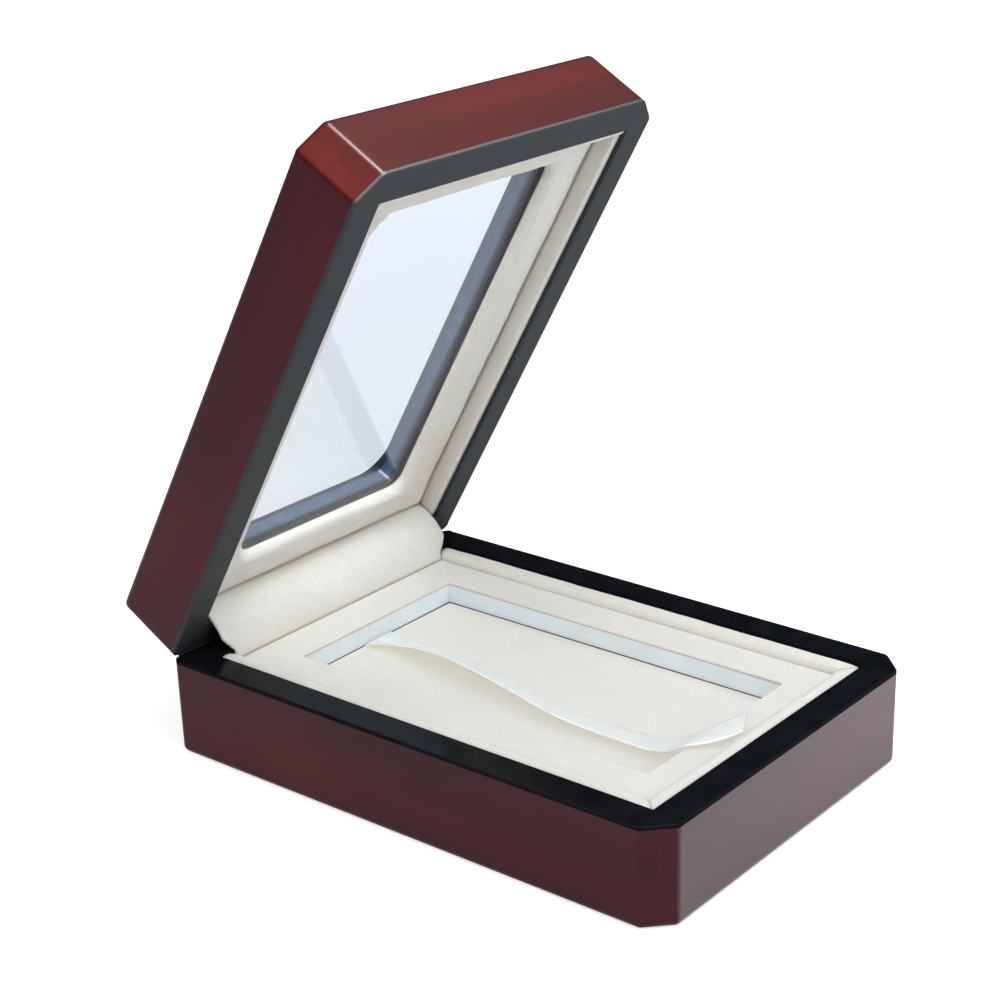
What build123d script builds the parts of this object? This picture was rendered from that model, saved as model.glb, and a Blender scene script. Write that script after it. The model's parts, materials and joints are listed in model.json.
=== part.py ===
from build123d import *
import math
import os

# Driving dimensions, millimetres and degrees.
# X runs along the hinge line, -Y is the front, +Z is up, the origin is the centre of the underside.
case_width = 106.0
case_depth = 150.0
base_height = 26.0
lid_height = 20.0
corner_cut = 6.4
outer_round = 2.0
wall_thickness = 8.2
open_angle = 60.0

rim_thickness = 1.0
rim_ease = 0.3
parting_gap = 0.2

felt_thickness = 1.0
panel_thickness = 4.0
panel_rebate = 4.0
panel_gap = 0.1

lining_thickness = 5.0
lining_drop = 0.3
lining_round = 2.2
insert_drop = 2.5
insert_cover_thickness = 0.8
insert_gap = 0.2
recess_side_margin = 11.0
recess_end_margin = 8.0
recess_sink = 5.8
recess_corner = 0.8
floor_board_thickness = 2.0
floor_board_gap = 0.4
ribbon_slot = 2.0

ribbon_width = 10.0
ribbon_thickness = 0.5
ribbon_clearance = 0.2
ribbon_root_offset = -1.5
ribbon_root_rise = 0.7
ribbon_root_bend = 0.8
ribbon_root_run = 3.4
ribbon_edge_set = 0.2
ribbon_edge_rise = 0.6
ribbon_edge_offset = -8.9
# Places along the ribbon: distance, offset to +X, lift of its far edge off the floor, tilt in degrees.
ribbon_places_from_back = (
    (10.0, -1.1, 0.4, 8.0),
    (27.6, -2.7, 0.8, 22.0),
)
ribbon_places_from_front = (
    (53.1, -7.4, 0.2, 22.0),
    (35.8, -9.8, 0.15, 17.0),
    (16.2, -9.4, 0.15, 12.0),
    (6.4, -9.2, 1.9, 4.0),
)
ribbon_curl_run = 2.6
ribbon_curl_offset = -6.3
ribbon_curl_rise = 1.2
ribbon_curl_turn = 14.0
ribbon_curl_roll = 7.0
free_end_offset = 1.1
free_end_overhang = 1.1
free_end_rise = 2.3
free_end_turn = 26.0
free_end_roll = 1.0

lid_panel_thickness = 9.0
window_side_margin = 23.0
window_end_margin = 20.5
window_corner = 3.0
window_bevel = 4.5
frame_mitre_overrun = 3.0
liner_thickness = 1.0
glass_thickness = 2.5
glass_margin = 6.0
bezel_thickness = 3.0
bezel_overhang = 0.6
bezel_corner = 4.0
bezel_roll = 2.4
bezel_outer_roll = 0.9
lid_lining_thickness = 1.8
lid_lining_drop = 0.4

hinge_length = 20.0
hinge_side_margin = 22.0
hinge_setback = 0.2
leaf_width = 5.8
leaf_corner = 1.0
knuckle_count = 3
barrel_radius = 1.9
pin_radius = 0.9
pin_clearance = 0.05
knuckle_gap = 0.15
barrel_clearance = 0.25
leaf_clearance = 0.1
screw_spacing = 12.0
screw_inset = 3.6
screw_shank_radius = 0.8
screw_head_radius = 1.6
screw_length = 7.0
screw_clearance = 0.05

cloth_thickness = 0.8
cloth_bulge = 2.8
cloth_tail = 6.0

cut_overrun = 1.0
level_tolerance = 0.01

# Places that follow from the driving dimensions.
half_width = case_width / 2
half_depth = case_depth / 2
inner_half_width = half_width - wall_thickness
inner_half_depth = half_depth - wall_thickness
wall_top = base_height - rim_thickness
panel_top = felt_thickness + panel_thickness
window_width = case_width - 2 * window_side_margin
window_depth = case_depth - 2 * window_end_margin
lining_face_x = inner_half_width - lining_thickness
lining_face_y = inner_half_depth - lining_thickness
recess_width = 2 * (lining_face_x - insert_gap - recess_side_margin)
recess_depth = 2 * (lining_face_y - insert_gap - recess_end_margin)
insert_top = base_height - insert_drop
recess_floor_height = insert_top - recess_sink
lid_floor = base_height + parting_gap
lid_top_height = lid_floor + lid_height
lid_panel_floor = lid_top_height - lid_panel_thickness
glass_floor = lid_panel_floor - glass_thickness
bezel_floor = glass_floor - bezel_thickness
hinge_axis_y = half_depth + hinge_setback
hinge_axis_z = base_height + parting_gap / 2
hinge_line = Axis((0, hinge_axis_y, hinge_axis_z), (1, 0, 0))


def block(low, high):
    """A box between two corners."""
    size = [high[k] - low[k] for k in range(3)]
    middle = [(high[k] + low[k]) / 2 for k in range(3)]
    return Pos(*middle) * Box(*size)


def case_outline(floor, top):
    """The outer prism: two cut corners at the front, square corners at the hinge, all eased."""
    cut = corner_cut
    points = [
        (-half_width + cut, -half_depth),
        (half_width - cut, -half_depth),
        (half_width, -half_depth + cut),
        (half_width, half_depth),
        (-half_width, half_depth),
        (-half_width, -half_depth + cut),
    ]
    prism = extrude(Pos(0, 0, floor) * Polygon(*points, align=None), top - floor)
    return fillet(prism.edges().filter_by(Axis.Z), outer_round)


def edge_loop(solid, height):
    """The outline edges of a prism that lie in one level plane."""
    return [edge for edge in solid.edges() if abs(edge.bounding_box().max.Z - height) < level_tolerance
            and edge.bounding_box().size.Z < level_tolerance]


def cavity(floor, top, inset=0.0):
    """The square-cornered space inside the walls, made smaller by the inset."""
    width = inner_half_width - inset
    depth = inner_half_depth - inset
    return block((-width, -depth, floor), (width, depth, top))


def split_by_mitres(ring, inner_width, inner_depth, floor, top):
    """The four sides of a ring, cut apart on planes from its outer corners to the inner corners."""
    w, d = half_width, half_depth
    iw, jd = inner_width, inner_depth
    plans = {
        "front": [(-w, -d), (w, -d), (iw, -jd), (-iw, -jd)],
        "back": [(w, d), (-w, d), (-iw, jd), (iw, jd)],
        "left": [(-w, d), (-w, -d), (-iw, -jd), (-iw, jd)],
        "right": [(w, -d), (w, d), (iw, jd), (iw, -jd)],
    }
    return {side: ring & extrude(Pos(0, 0, floor) * Polygon(*plan, align=None), top - floor)
            for side, plan in plans.items()}


def split_strips(strips, thickness, floor, top):
    """Three lining strips, mitred where the front one meets the side ones."""
    w, d = inner_half_width, inner_half_depth
    t = thickness
    plans = {
        "front": [(-w, -d), (w, -d), (w - t, -d + t), (-w + t, -d + t)],
        "left": [(-w, -d), (-w + t, -d + t), (-w + t, d), (-w, d)],
        "right": [(w, d), (w - t, d), (w - t, -d + t), (w, -d)],
    }
    return {side: strips[side] & extrude(Pos(0, 0, floor) * Polygon(*plan, align=None), top - floor)
            for side, plan in plans.items()}


def lining_blanks(thickness, floor, top):
    """Square strips of one thickness against the front and side walls."""
    w, d = inner_half_width, inner_half_depth
    return {
        "front": block((-w, -d, floor), (w, -d + thickness, top)),
        "left": block((-w, -d, floor), (-w + thickness, d, top)),
        "right": block((w - thickness, -d, floor), (w, d, top)),
    }


def hinge_centres():
    """The X of the middle of each hinge."""
    reach = half_width - hinge_side_margin - hinge_length / 2
    return (-reach, reach)


def barrel_cove():
    """Room in the walls and rims for the hinge barrels."""
    tool = Part()
    for x in hinge_centres():
        tool += Pos(x, hinge_axis_y, hinge_axis_z) * Rot(0, 90, 0) * Cylinder(
            barrel_radius + barrel_clearance, hinge_length + 2 * barrel_clearance)
    return tool


def leaf_pockets(floor, top):
    """Openings in a rim band that take the hinge leaves."""
    tool = Part()
    front = hinge_axis_y - barrel_radius - leaf_width - leaf_clearance
    for x in hinge_centres():
        reach = hinge_length / 2 + leaf_clearance
        tool += block((x - reach, front, floor - cut_overrun),
                      (x + reach, half_depth + cut_overrun, top + cut_overrun))
    return tool


def screw_places():
    """Centres of the leaf screws, two for each hinge."""
    y = half_depth - screw_inset
    return [(x + side * screw_spacing / 2, y) for x in hinge_centres() for side in (-1, 1)]


def screw_holes(head_face, direction):
    """Pilot holes in a wall for the leaf screws; the direction is -1 down or +1 up."""
    tool = Part()
    length = screw_length + screw_clearance
    for x, y in screw_places():
        tool += Pos(x, y, head_face + direction * length / 2) * Cylinder(
            screw_shank_radius + screw_clearance, length)
    return tool


def base_walls():
    """Four mitred walls with a rebate for the bottom panel and a rounded foot."""
    shell = case_outline(0, wall_top)
    shell = fillet(edge_loop(shell, 0), outer_round)
    shell -= cavity(-cut_overrun, wall_top + cut_overrun)
    shell -= cavity(-cut_overrun, panel_top, -panel_rebate)
    shell -= barrel_cove()
    shell -= screw_holes(base_height, -1)
    return split_by_mitres(shell, inner_half_width, inner_half_depth, 0, wall_top)


def rim_band(floor, top, eased):
    """A band of the case's outline with one edge eased, square along the hinge side."""
    plain = case_outline(floor, top)
    square = plain & block((-half_width, half_depth - outer_round, floor), (half_width, half_depth, top))
    return chamfer(edge_loop(plain, eased), rim_ease) + square


def base_rim():
    """Black band on the wall tops, open where the lower hinge leaves lie."""
    band = rim_band(wall_top, base_height, base_height)
    band -= cavity(wall_top - cut_overrun, base_height + cut_overrun)
    band -= leaf_pockets(wall_top, base_height)
    return band - barrel_cove()


def bottom_board(floor, top):
    """A board that drops into the rebate of the walls."""
    return cavity(floor, top, panel_gap - panel_rebate)


def base_linings():
    """Padded strips with a rolled top edge."""
    top = base_height - lining_drop
    strips = lining_blanks(lining_thickness, panel_top, top)
    for side, strip in strips.items():
        long_axis = Axis.X if side == "front" else Axis.Y
        strips[side] = fillet(strip.edges().filter_by(long_axis).group_by(Axis.Z)[-1], lining_round)
    return split_strips(strips, lining_thickness, panel_top, top)


def insert_blank(floor, top):
    """The block between the linings, with room for the hinge cover's tail at the back wall."""
    width = lining_face_x - insert_gap
    front = -lining_face_y + insert_gap
    back = inner_half_depth - cloth_thickness - 2 * insert_gap
    return block((-width, front, floor), (width, back, top))


def recess_prism(floor, top):
    """The rounded rectangle of the holder recess."""
    plan = RectangleRounded(recess_width, recess_depth, recess_corner)
    return extrude(Pos(0, 0, floor) * plan, top - floor)


def insert_core():
    """Board-faced core with a blind pocket; its walls show in the recess."""
    floor = recess_floor_height - floor_board_thickness
    return insert_blank(panel_top, insert_top - insert_cover_thickness) - recess_prism(floor, insert_top)


def insert_cover():
    """Velvet face of the insert."""
    floor = insert_top - insert_cover_thickness
    return insert_blank(floor, insert_top) - recess_prism(floor - cut_overrun, insert_top + cut_overrun)


def recess_board():
    """Velvet board on the pocket's floor, short at the hinge end where the ribbon comes up."""
    half_w = recess_width / 2 - floor_board_gap
    front = -recess_depth / 2 + floor_board_gap
    back = recess_depth / 2 - ribbon_slot
    floor = recess_floor_height - floor_board_thickness
    return block((-half_w, front, floor), (half_w, back, recess_floor_height))


def arc_path(points, radii):
    """Straight runs through the points, joined by tangent arcs of the given radii at the inner points."""
    path = []
    start = Vector(*points[0])
    for k, radius in enumerate(radii):
        corner = Vector(*points[k + 1])
        before = (Vector(*points[k]) - corner).normalized()
        after = (Vector(*points[k + 2]) - corner).normalized()
        half_turn = math.radians(180 - before.get_angle(after)) / 2
        reach = radius * math.tan(half_turn)
        first = corner + before * reach
        last = corner + after * reach
        bisector = (before + after).normalized()
        middle = corner + bisector * (radius / math.cos(half_turn) - radius)
        if (first - start).length > level_tolerance:
            path.append(Line(start, first))
        path.append(ThreePointArc(first, middle, last))
        start = last
    path.append(Line(start, Vector(*points[-1])))
    return Wire(path)


def band_section(place, heading, climb, roll):
    """The band's cross-section; heading turns it from -Y towards +X, roll lifts its +X edge."""
    plane = Plane(origin=place, x_dir=(1, 0, 0), z_dir=(0, -1, 0))
    turned = plane * Rot(0, heading, 0) * Rot(climb, 0, 0) * Rot(0, 0, roll)
    return turned * Rectangle(ribbon_width, ribbon_thickness)


def way_ahead(before, after):
    """Heading and climb in degrees of the line from one place to another."""
    x, y, z = [after[i] - before[i] for i in range(3)]
    return math.degrees(math.atan2(x, -y)), math.degrees(math.atan2(z, math.hypot(x, y)))


def ribbon_places():
    """Middle of the band and its tilt at each place, from the slot's mouth to the recess's front edge."""
    back = recess_depth / 2
    half = ribbon_thickness / 2
    rest = recess_floor_height + half + ribbon_clearance
    mouth = (ribbon_root_offset, back - ribbon_slot / 2 - ribbon_root_run, rest + ribbon_root_rise)
    rows = [(mouth, 0.0)]
    table = [(back - d, x, lift, tilt) for d, x, lift, tilt in ribbon_places_from_back]
    table += [(d - back, x, lift, tilt) for d, x, lift, tilt in ribbon_places_from_front]
    for y, x, lift, tilt in table:
        z = rest + lift + ribbon_width / 2 * math.sin(math.radians(tilt))
        rows.append(((x, y, z), tilt))
    over = insert_top + half + ribbon_clearance + ribbon_edge_rise
    rows.append(((ribbon_edge_offset, -back - ribbon_edge_set, over), 0.0))
    return rows


def pull_ribbon():
    """Satin band that lifts the holder out: up from its slot, near edge raised, over the front edge."""
    rows = ribbon_places()
    places = [place for place, _ in rows]
    mouth = places[0]
    slot_y = recess_depth / 2 - ribbon_slot / 2
    root = recess_floor_height - floor_board_thickness + ribbon_clearance
    rise = arc_path([(mouth[0], slot_y, root), (mouth[0], slot_y, mouth[2]), mouth], [ribbon_root_bend])
    start = rise ^ 0
    foot = Plane(origin=start.position, x_dir=(1, 0, 0), z_dir=start.z_axis.direction)
    band = sweep(foot * Rectangle(ribbon_width, ribbon_thickness), path=rise)
    sections = [band_section(mouth, 0, 0, 0)]
    for k in range(1, len(rows) - 1):
        heading, climb = way_ahead(places[k - 1], places[k + 1])
        sections.append(band_section(places[k], heading, climb, -rows[k][1]))
    lip = places[-1]
    curl = (ribbon_curl_offset, lip[1] - ribbon_curl_run, lip[2] + ribbon_curl_rise)
    tip = (free_end_offset, -lining_face_y + free_end_overhang, lip[2] + free_end_rise)
    sections.append(band_section(lip, 0, way_ahead(places[-2], curl)[1], 0))
    sections.append(band_section(curl, ribbon_curl_turn, way_ahead(lip, tip)[1], ribbon_curl_roll))
    sections.append(band_section(tip, free_end_turn, way_ahead(curl, tip)[1], free_end_roll))
    return band + loft(sections)


def leaf_plate(x, floor):
    """A flat leaf with two countersunk holes, its back end at the barrel's axis."""
    front = hinge_axis_y - barrel_radius - leaf_width
    plate = block((x - hinge_length / 2, front, floor),
                  (x + hinge_length / 2, hinge_axis_y, floor + rim_thickness))
    front_corners = plate.edges().filter_by(Axis.Z).group_by(Axis.Y)[0]
    return fillet(front_corners, leaf_corner)


def knuckle_spans(x):
    """Lengths of the knuckles along the barrel, from low X to high X."""
    pitch = hinge_length / knuckle_count
    start = x - hinge_length / 2
    gap = knuckle_gap / 2
    return [(start + k * pitch + gap, start + (k + 1) * pitch - gap) for k in range(knuckle_count)]


def along_barrel(low, high, radius):
    """A cylinder on the hinge axis between two X values."""
    return Pos((low + high) / 2, hinge_axis_y, hinge_axis_z) * Rot(0, 90, 0) * Cylinder(radius, high - low)


def hinge_leaf(x, lower):
    """One leaf with its rolled knuckles: the outer and middle ones below, the other two above."""
    floor = wall_top if lower else lid_floor
    leaf = leaf_plate(x, floor)
    spans = knuckle_spans(x)
    own = spans[0::2] if lower else spans[1::2]
    other = spans[1::2] if lower else spans[0::2]
    for low, high in other:
        leaf -= along_barrel(low - knuckle_gap, high + knuckle_gap, barrel_radius + barrel_clearance)
    for low, high in own:
        leaf += along_barrel(low, high, barrel_radius)
    leaf -= along_barrel(x - hinge_length, x + hinge_length, pin_radius + pin_clearance)
    head_face = base_height if lower else lid_floor
    for sx, sy in screw_places():
        if abs(sx - x) < hinge_length / 2:
            leaf -= screw_solid(sx, sy, head_face, -1 if lower else 1, screw_clearance)
    return leaf


def screw_solid(x, y, head_face, direction, grow=0.0):
    """A countersunk screw: a conical head flush with the leaf, and a straight shank."""
    head = screw_head_radius + grow
    shank = screw_shank_radius + grow
    profile = [(0, 0), (head, 0), (shank, rim_thickness), (shank, screw_length), (0, screw_length)]
    section = Plane.XZ * Polygon(*[(r, direction * z) for r, z in profile], align=None)
    return Pos(x, y, head_face) * revolve(section, Axis.Z)


def screws(head_face, direction):
    return Compound([screw_solid(x, y, head_face, direction) for x, y in screw_places()])


def hinge_pin(x):
    """Straight pin, flush with the ends of the barrel."""
    reach = hinge_length / 2
    return along_barrel(x - reach, x + reach, pin_radius)


def lid_walls():
    """Four mitred walls between the rim band and the top frame, in the closed position."""
    floor = lid_floor + rim_thickness
    shell = case_outline(floor, lid_panel_floor)
    shell -= cavity(floor - cut_overrun, lid_panel_floor + cut_overrun)
    shell -= barrel_cove()
    shell -= screw_holes(lid_floor, 1)
    return split_by_mitres(shell, inner_half_width, inner_half_depth, floor, lid_panel_floor)


def window_plan(height, grow=0.0):
    """The window's rounded rectangle in a level plane."""
    return Pos(0, 0, height) * RectangleRounded(
        window_width + 2 * grow, window_depth + 2 * grow, window_corner + grow)


def window_prism(floor, top, grow=0.0):
    return extrude(window_plan(floor, grow), top - floor)


def lid_frame():
    """The thick top frame, bevelled round the window outside, cut into four mitred members."""
    shell = case_outline(lid_panel_floor, lid_top_height)
    shell = fillet(edge_loop(shell, lid_top_height), outer_round)
    shell -= window_prism(lid_panel_floor - cut_overrun, lid_top_height + cut_overrun, liner_thickness)
    corner_x = window_width / 2 + liner_thickness
    corner_y = window_depth / 2 + liner_thickness
    mouth = [edge for edge in edge_loop(shell, lid_top_height)
             if abs(edge.center().X) < corner_x + rim_ease and abs(edge.center().Y) < corner_y + rim_ease]
    shell = chamfer(mouth, window_bevel)
    overrun_y = frame_mitre_overrun * (half_depth - corner_y) / (half_width - corner_x)
    return split_by_mitres(shell, corner_x - frame_mitre_overrun, corner_y - overrun_y,
                           lid_panel_floor, lid_top_height)


def window_liner():
    """Black band on the straight walls of the window opening."""
    top = lid_top_height - window_bevel
    band = window_prism(lid_panel_floor, top, liner_thickness)
    return band - window_prism(lid_panel_floor - cut_overrun, top + cut_overrun)


def lid_rim():
    """Black band on the wall edges of the lid, open where the upper hinge leaves lie."""
    top = lid_floor + rim_thickness
    band = rim_band(lid_floor, top, lid_floor)
    band -= cavity(lid_floor - cut_overrun, top + cut_overrun)
    band -= leaf_pockets(lid_floor, top)
    return band - barrel_cove()


def glass_pane():
    width = window_width / 2 + glass_margin
    depth = window_depth / 2 + glass_margin
    return block((-width, -depth, glass_floor), (width, depth, lid_panel_floor))


def glass_spacer():
    """Board of the glass's thickness that fills the lid around the pane."""
    width = window_width / 2 + glass_margin + insert_gap
    depth = window_depth / 2 + glass_margin + insert_gap
    board = cavity(glass_floor, lid_panel_floor, panel_gap)
    return board - block((-width, -depth, glass_floor - cut_overrun),
                         (width, depth, lid_panel_floor + cut_overrun))


def lid_bezel():
    """Padded frame with a deep roll over its window edge."""
    width = inner_half_width - lid_lining_thickness - insert_gap
    front = -inner_half_depth + lid_lining_thickness + insert_gap
    back = inner_half_depth - cloth_thickness - 2 * insert_gap
    pad = block((-width, front, bezel_floor), (width, back, glass_floor))
    pad = fillet(pad.edges().group_by(Axis.Z)[0], bezel_outer_roll)
    hole = RectangleRounded(
        window_width + 2 * bezel_overhang, window_depth + 2 * bezel_overhang, bezel_corner)
    pad -= extrude(Pos(0, 0, bezel_floor - cut_overrun) * hole, bezel_thickness + 2 * cut_overrun)
    reach_x = window_width / 2 + bezel_overhang + insert_gap
    reach_y = window_depth / 2 + bezel_overhang + insert_gap
    roll = [edge for edge in pad.edges().group_by(Axis.Z)[0]
            if abs(edge.center().X) < reach_x and abs(edge.center().Y) < reach_y]
    return fillet(roll, bezel_roll)


def lid_linings():
    """Thin strips on the inside of the lid walls."""
    floor = lid_floor + lid_lining_drop
    strips = lining_blanks(lid_lining_thickness, floor, glass_floor)
    return split_strips(strips, lid_lining_thickness, floor, glass_floor)


def turn_open(solid):
    """Carry a lid piece from the closed position to the open one."""
    return solid.rotate(hinge_line, -open_angle)


def opened(y, z):
    """A point of the closed lid, in the YZ plane, carried to the open position."""
    angle = math.radians(open_angle)
    dy, dz = y - hinge_axis_y, z - hinge_axis_z
    return (hinge_axis_y + dy * math.cos(angle) + dz * math.sin(angle),
            hinge_axis_z - dy * math.sin(angle) + dz * math.cos(angle))


def hinge_cover():
    """Velvet strip from a tail behind the insert, bowed over both rims, to a tail behind the bezel."""
    slot = inner_half_depth - insert_gap - cloth_thickness / 2
    low_tail = (slot, insert_top - cloth_tail)
    low_mouth = (slot, insert_top)
    high_mouth = opened(slot, bezel_floor)
    high_tail = opened(slot, glass_floor - insert_gap)
    span = (high_mouth[0] - low_mouth[0], high_mouth[1] - low_mouth[1])
    length = math.hypot(*span)
    out = (-span[1] / length, span[0] / length)
    crown = ((low_mouth[0] + high_mouth[0]) / 2 + out[0] * cloth_bulge,
             (low_mouth[1] + high_mouth[1]) / 2 + out[1] * cloth_bulge)
    low, mid, high = [Vector(0, *p) for p in (low_mouth, crown, high_mouth)]
    narrow = 2 * (lining_face_x - insert_gap)
    wide = 2 * (inner_half_width - lid_lining_thickness - 2 * insert_gap)
    web = Wire([ThreePointArc(low, mid, high)])
    start = web ^ 0
    section = Plane(origin=start.position, x_dir=(1, 0, 0), z_dir=start.z_axis.direction)
    cloth = sweep(section * Rectangle(wide, cloth_thickness), path=web)
    side = lining_thickness
    for sign in (-1, 1):
        x = sorted((sign * (narrow / 2), sign * (narrow / 2 + side)))
        cloth -= block((x[0], 0, 0), (x[1], half_depth, base_height))
    tail = block((-narrow / 2, slot - cloth_thickness / 2, low_tail[1]),
                 (narrow / 2, slot + cloth_thickness / 2, insert_top))
    upper = block((-wide / 2, slot - cloth_thickness / 2, bezel_floor),
                  (wide / 2, slot + cloth_thickness / 2, glass_floor - insert_gap))
    return cloth + tail + turn_open(upper)


def base_nodes():
    nodes = {f"base_wall_{side}": wall for side, wall in base_walls().items()}
    nodes["base_rim"] = base_rim()
    nodes["base_felt"] = bottom_board(0, felt_thickness)
    nodes["base_panel"] = bottom_board(felt_thickness, panel_top)
    nodes.update({f"base_lining_{side}": strip for side, strip in base_linings().items()})
    nodes["insert_core"] = insert_core()
    nodes["insert_cover"] = insert_cover()
    nodes["recess_board"] = recess_board()
    nodes["pull_ribbon"] = pull_ribbon()
    nodes["hinge_cover"] = hinge_cover()
    for side, x in zip(("left", "right"), hinge_centres()):
        nodes[f"base_hinge_leaf_{side}"] = hinge_leaf(x, True)
        nodes[f"hinge_pin_{side}"] = hinge_pin(x)
    nodes["base_hinge_screws"] = screws(base_height, -1)
    return nodes


def lid_nodes():
    nodes = {f"lid_wall_{side}": wall for side, wall in lid_walls().items()}
    nodes.update({f"lid_frame_{side}": member for side, member in lid_frame().items()})
    nodes["window_liner"] = window_liner()
    nodes["lid_rim"] = lid_rim()
    nodes["window_glass"] = glass_pane()
    nodes["glass_spacer"] = glass_spacer()
    nodes["lid_bezel"] = lid_bezel()
    nodes.update({f"lid_lining_{side}": strip for side, strip in lid_linings().items()})
    for side, x in zip(("left", "right"), hinge_centres()):
        nodes[f"lid_hinge_leaf_{side}"] = hinge_leaf(x, False)
    nodes["lid_hinge_screws"] = screws(lid_floor, 1)
    return {name: turn_open(solid) for name, solid in nodes.items()}


os.makedirs("parts", exist_ok=True)
for name, solid in {**base_nodes(), **lid_nodes()}.items():
    export_step(solid, f"parts/{name}.step")
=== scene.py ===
import json
import math
from types import SimpleNamespace

import bmesh
import bpy
import numpy as np
from bpy.props import FloatProperty, FloatVectorProperty, PointerProperty
from bpy.types import Operator, Panel, PropertyGroup
from mathutils import Matrix, Vector


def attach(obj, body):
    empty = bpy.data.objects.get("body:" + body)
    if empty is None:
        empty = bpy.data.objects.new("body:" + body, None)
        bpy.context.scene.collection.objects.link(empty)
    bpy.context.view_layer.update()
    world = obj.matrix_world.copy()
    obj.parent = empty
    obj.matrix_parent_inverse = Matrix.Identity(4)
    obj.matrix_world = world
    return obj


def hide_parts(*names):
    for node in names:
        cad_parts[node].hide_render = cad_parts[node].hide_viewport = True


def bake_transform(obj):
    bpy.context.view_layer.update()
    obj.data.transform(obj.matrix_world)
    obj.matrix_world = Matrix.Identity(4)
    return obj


bl_info = {
    "name": "Coin case dressing",
    "version": (1, 0, 0),
    "blender": (4, 5, 0),
    "location": "View3D > Sidebar > Coin case",
    "description": "Velvet pads, pull ribbon, lacquer finishes and a studio for a hinged coin case",
    "category": "Object",
}

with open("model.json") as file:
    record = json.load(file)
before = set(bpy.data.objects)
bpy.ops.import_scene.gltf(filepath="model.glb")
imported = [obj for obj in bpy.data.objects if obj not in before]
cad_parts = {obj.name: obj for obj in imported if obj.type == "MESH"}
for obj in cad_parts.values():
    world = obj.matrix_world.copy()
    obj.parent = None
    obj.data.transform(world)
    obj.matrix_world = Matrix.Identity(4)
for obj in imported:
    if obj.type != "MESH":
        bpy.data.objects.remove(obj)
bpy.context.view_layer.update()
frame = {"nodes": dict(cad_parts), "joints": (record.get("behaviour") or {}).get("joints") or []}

MM = 0.001
HINGE = np.array(frame["joints"][0]["pos_m"]) / MM
LID_SWING = frame["joints"][0]["range_deg"][1]
SHUT_TURN = (LID_SWING, 0, 0)
AS_PLACED = (0, 0, 0)


def turned(points, degrees):
    """Millimetre points turned about the hinge line: y and z from the line take the plane rotation."""
    angle = math.radians(degrees)
    arm = np.asarray(points, float) - HINGE
    y, z = arm[..., 1], arm[..., 2]
    moved = np.stack([arm[..., 0], y * math.cos(angle) - z * math.sin(angle),
                      y * math.sin(angle) + z * math.cos(angle)], axis=-1)
    return moved + HINGE


def carried_open(points):
    """Points of the closed lid carried to where the lid stands at rest."""
    return turned(points, -LID_SWING)


def box_of(node, closed=False):
    """Low and high corner of a node in millimetres, for a lid node with the lid shut."""
    mesh = frame["nodes"][node].data
    flat = np.empty(len(mesh.vertices) * 3)
    mesh.vertices.foreach_get("co", flat)
    points = flat.reshape(-1, 3) / MM
    if closed:
        points = turned(points, LID_SWING)
    return points.min(axis=0), points.max(axis=0)


def srgb(red, green, blue):
    """A display colour from 0 to 255 as the linear colour of a shader socket."""
    share = np.array([red, green, blue]) / 255
    linear = np.where(share <= 0.04045, share / 12.92, ((share + 0.055) / 1.055) ** 2.4)
    return (*linear.tolist(), 1.0)


def colour_setting(name, description, *display):
    return FloatVectorProperty(name=name, description=description, subtype="COLOR", size=4,
                               min=0, max=1, default=srgb(*display))


def tint_setting(name, description, *tint):
    return FloatVectorProperty(name=name, description=description, subtype="COLOR", size=3,
                               min=0, max=1, default=tint)


def length_setting(name, description, millimetres):
    return FloatProperty(name=name, description=description, unit="LENGTH", min=0,
                         default=millimetres * MM)


def power_setting(name, description, watts):
    return FloatProperty(name=name, description=description, unit="POWER", min=0, default=watts)


def share_setting(name, description, share):
    return FloatProperty(name=name, description=description, subtype="FACTOR", min=0, max=1,
                         default=share)


class PadSizes(PropertyGroup):
    filling: length_setting("Filling", "How far the filling may push a pad's face out", 0.25)
    lining_roll: length_setting("Lining roll", "Depth of the rounded top of the base lining", 2.4)
    lining_swell: length_setting("Lining swell", "Uneven filling along the lining", 0.12)
    seam_depth: length_setting("Mitre seam", "How far the roll dips at a mitre", 0.5)
    seam_reach: length_setting("Seam reach", "Distance over which a roll rises from a seam", 1.3)
    insert_edge: length_setting("Insert edge", "Rounding of the velvet round the recess", 0.45)
    board_reach: length_setting("Board reach", "How far the board's velvet turns over at its hinge end", 1.65)
    bezel_roll: length_setting("Bezel roll", "Reach of the roll at the window", 3.4)
    bezel_outer: length_setting("Bezel outer edge", "Rounding of the bezel beside the lid lining", 0.9)
    bezel_wall_fall: length_setting("Bezel at the wall", "Fall of the bezel towards the lid lining", 0.4)
    bezel_side_fall: length_setting("Bezel side fall", "Fall of the bezel at the window's right side", 0.6)
    bezel_left_fall: length_setting("Bezel left fall", "Fall of the bezel at the window's left side", 2.1)
    bezel_wave: length_setting("Bezel wave", "Uneven edge of the roll at the hinge end", 0.5)
    bezel_crown: length_setting("Bezel crown", "Rise of the padding between its two edges", 0.22)
    lid_lining_edge: length_setting("Lid lining edge", "Rounding of the thin lining beside the rim", 0.8)
    lid_lining_set_back: length_setting("Lid lining set back", "Black edge left bare beside the rim", 0.9)
    cover_thickness: length_setting("Hinge cover", "Thickness of the velvet over the hinges", 0.7)
    bead_radius: length_setting("Parting bead", "Radius of the bead along the hinge line", 0.2)
    corner_round: length_setting("Corner round", "Rounding of the case's back corners", 2.1)
    cover_bulge: length_setting("Cover bulge", "How far the hinge cover bows into the case", 2.6)


class RibbonSizes(PropertyGroup):
    width: length_setting("Width", "Width of the pull ribbon", 10.0)
    thickness: length_setting("Thickness", "Thickness of the satin", 0.32)
    cupping: length_setting("Cupping", "Rise of the band's middle over its edges", 0.12)


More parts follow.
